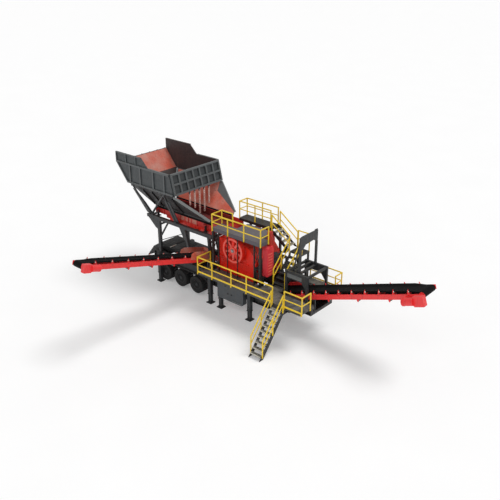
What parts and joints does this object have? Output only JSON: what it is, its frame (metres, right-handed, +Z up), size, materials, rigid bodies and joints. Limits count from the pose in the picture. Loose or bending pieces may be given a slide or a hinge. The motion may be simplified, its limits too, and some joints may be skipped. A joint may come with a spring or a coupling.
{
  "type": "mobile jaw crushing plant",
  "caption": "Trailer-mounted jaw crushing plant on jack legs: ribbed feed hopper with chain curtain, vibrating feeder, jaw crusher, platforms with stairs, side and main belt conveyors.",
  "frame": {"origin": "on the ground, at the middle of the plant's overall footprint", "axes": "+X along the trailer towards the gooseneck and the main conveyor's head, -Y towards the walkway with the ground stair and the side conveyor, +Z up"},
  "size_m": [20.0664, 11.7674, 7.95],
  "materials": {
    "red_paint": "semi-gloss, dusty",
    "grey_motor": "semi-gloss",
    "dark_steel": "satin, dusty",
    "hopper_grey": "satin, scuffed",
    "liner_red": "worn matte",
    "chain_steel": "worn",
    "jack_grey": "satin",
    "spring_steel": "satin",
    "jaw_steel": "worn manganese steel",
    "shaft_steel": "turned",
    "belt_rubber": "dusty matte",
    "roller_steel": "worn",
    "yellow_paint": "semi-gloss",
    "tyre": "dusty"
  },
  "bodies": {
    "plant": {"axle_beams": "dark_steel", "chain_curtain": "chain_steel", "chassis_beam_far": "dark_steel", "chassis_beam_near": "dark_steel", "chassis_crossmembers": "dark_steel", "conveyor_drives": "red_paint", "conveyor_mounts": "dark_steel", "crusher_base": "red_paint", "crusher_body": "red_paint", "crusher_end_cover": "red_paint", "crusher_jaw_dies": "jaw_steel", "crusher_motor": "grey_motor", "crusher_stools": "dark_steel", "drive_belt": "belt_rubber", "feeder_exciter": "red_paint", "feeder_frame": "dark_steel", "feeder_pan": "red_paint", "feeder_springs": "spring_steel", "feeder_supports": "dark_steel", "gantry": "dark_steel", "ground_stair": "dark_steel", "high_platform": "dark_steel", "hopper_front_wall": "hopper_grey", "hopper_funnel_sides": "hopper_grey", "hopper_liners": "liner_red", "hopper_rear_wall": "hopper_grey", "hopper_side_far": "hopper_grey", "hopper_side_near": "hopper_grey", "hopper_struts": "hopper_grey", "inner_stairs": "dark_steel", "jack_legs": "jack_grey", "jack_tubes": "dark_steel", "kingpin_plate": "dark_steel", "main_conveyor_belt": "belt_rubber", "main_conveyor_frame": "red_paint", "main_conveyor_rollers": "roller_steel", "mudguards": "dark_steel", "platform_columns": "dark_steel", "platform_rails": "yellow_paint", "portal": "dark_steel", "power_pack": "dark_steel", "side_conveyor_belt": "belt_rubber", "side_conveyor_frame": "red_paint", "side_conveyor_rollers": "roller_steel", "side_conveyor_skirt": "liner_red", "side_tank": "dark_steel", "stair_rails": "yellow_paint", "upper_platform": "dark_steel", "walkway_far": "dark_steel", "walkway_near": "dark_steel", "walkway_rails": "yellow_paint"},
    "flywheels": {"eccentric_shaft": "shaft_steel", "flywheel_near": "red_paint", "flywheel_far": "red_paint"},
    "wheel_near_1": {"wheel_near_1": "tyre"},
    "wheel_near_2": {"wheel_near_2": "tyre"},
    "wheel_near_3": {"wheel_near_3": "tyre"},
    "wheel_far_1": {"wheel_far_1": "tyre"},
    "wheel_far_2": {"wheel_far_2": "tyre"},
    "wheel_far_3": {"wheel_far_3": "tyre"}
  },
  "joints": [
    {"name": "flywheels_spin", "type": "hinge", "parent": "plant", "child": "flywheels", "pos_m": [-1.17317, 3.83374, 3.84], "axis": [0, 1, 0], "continuous": true},
    {"name": "wheel_near_1_turn", "type": "hinge", "parent": "plant", "child": "wheel_near_1", "pos_m": [-6.95317, 2.88374, 0.66], "axis": [0, 1, 0], "continuous": true},
    {"name": "wheel_near_2_turn", "type": "hinge", "parent": "plant", "child": "wheel_near_2", "pos_m": [-5.60317, 2.88374, 0.66], "axis": [0, 1, 0], "continuous": true},
    {"name": "wheel_near_3_turn", "type": "hinge", "parent": "plant", "child": "wheel_near_3", "pos_m": [-4.25317, 2.88374, 0.66], "axis": [0, 1, 0], "continuous": true},
    {"name": "wheel_far_1_turn", "type": "hinge", "parent": "plant", "child": "wheel_far_1", "pos_m": [-6.95317, 4.78374, 0.66], "axis": [0, 1, 0], "continuous": true},
    {"name": "wheel_far_2_turn", "type": "hinge", "parent": "plant", "child": "wheel_far_2", "pos_m": [-5.60317, 4.78374, 0.66], "axis": [0, 1, 0], "continuous": true},
    {"name": "wheel_far_3_turn", "type": "hinge", "parent": "plant", "child": "wheel_far_3", "pos_m": [-4.25317, 4.78374, 0.66], "axis": [0, 1, 0], "continuous": true}
  ]
}
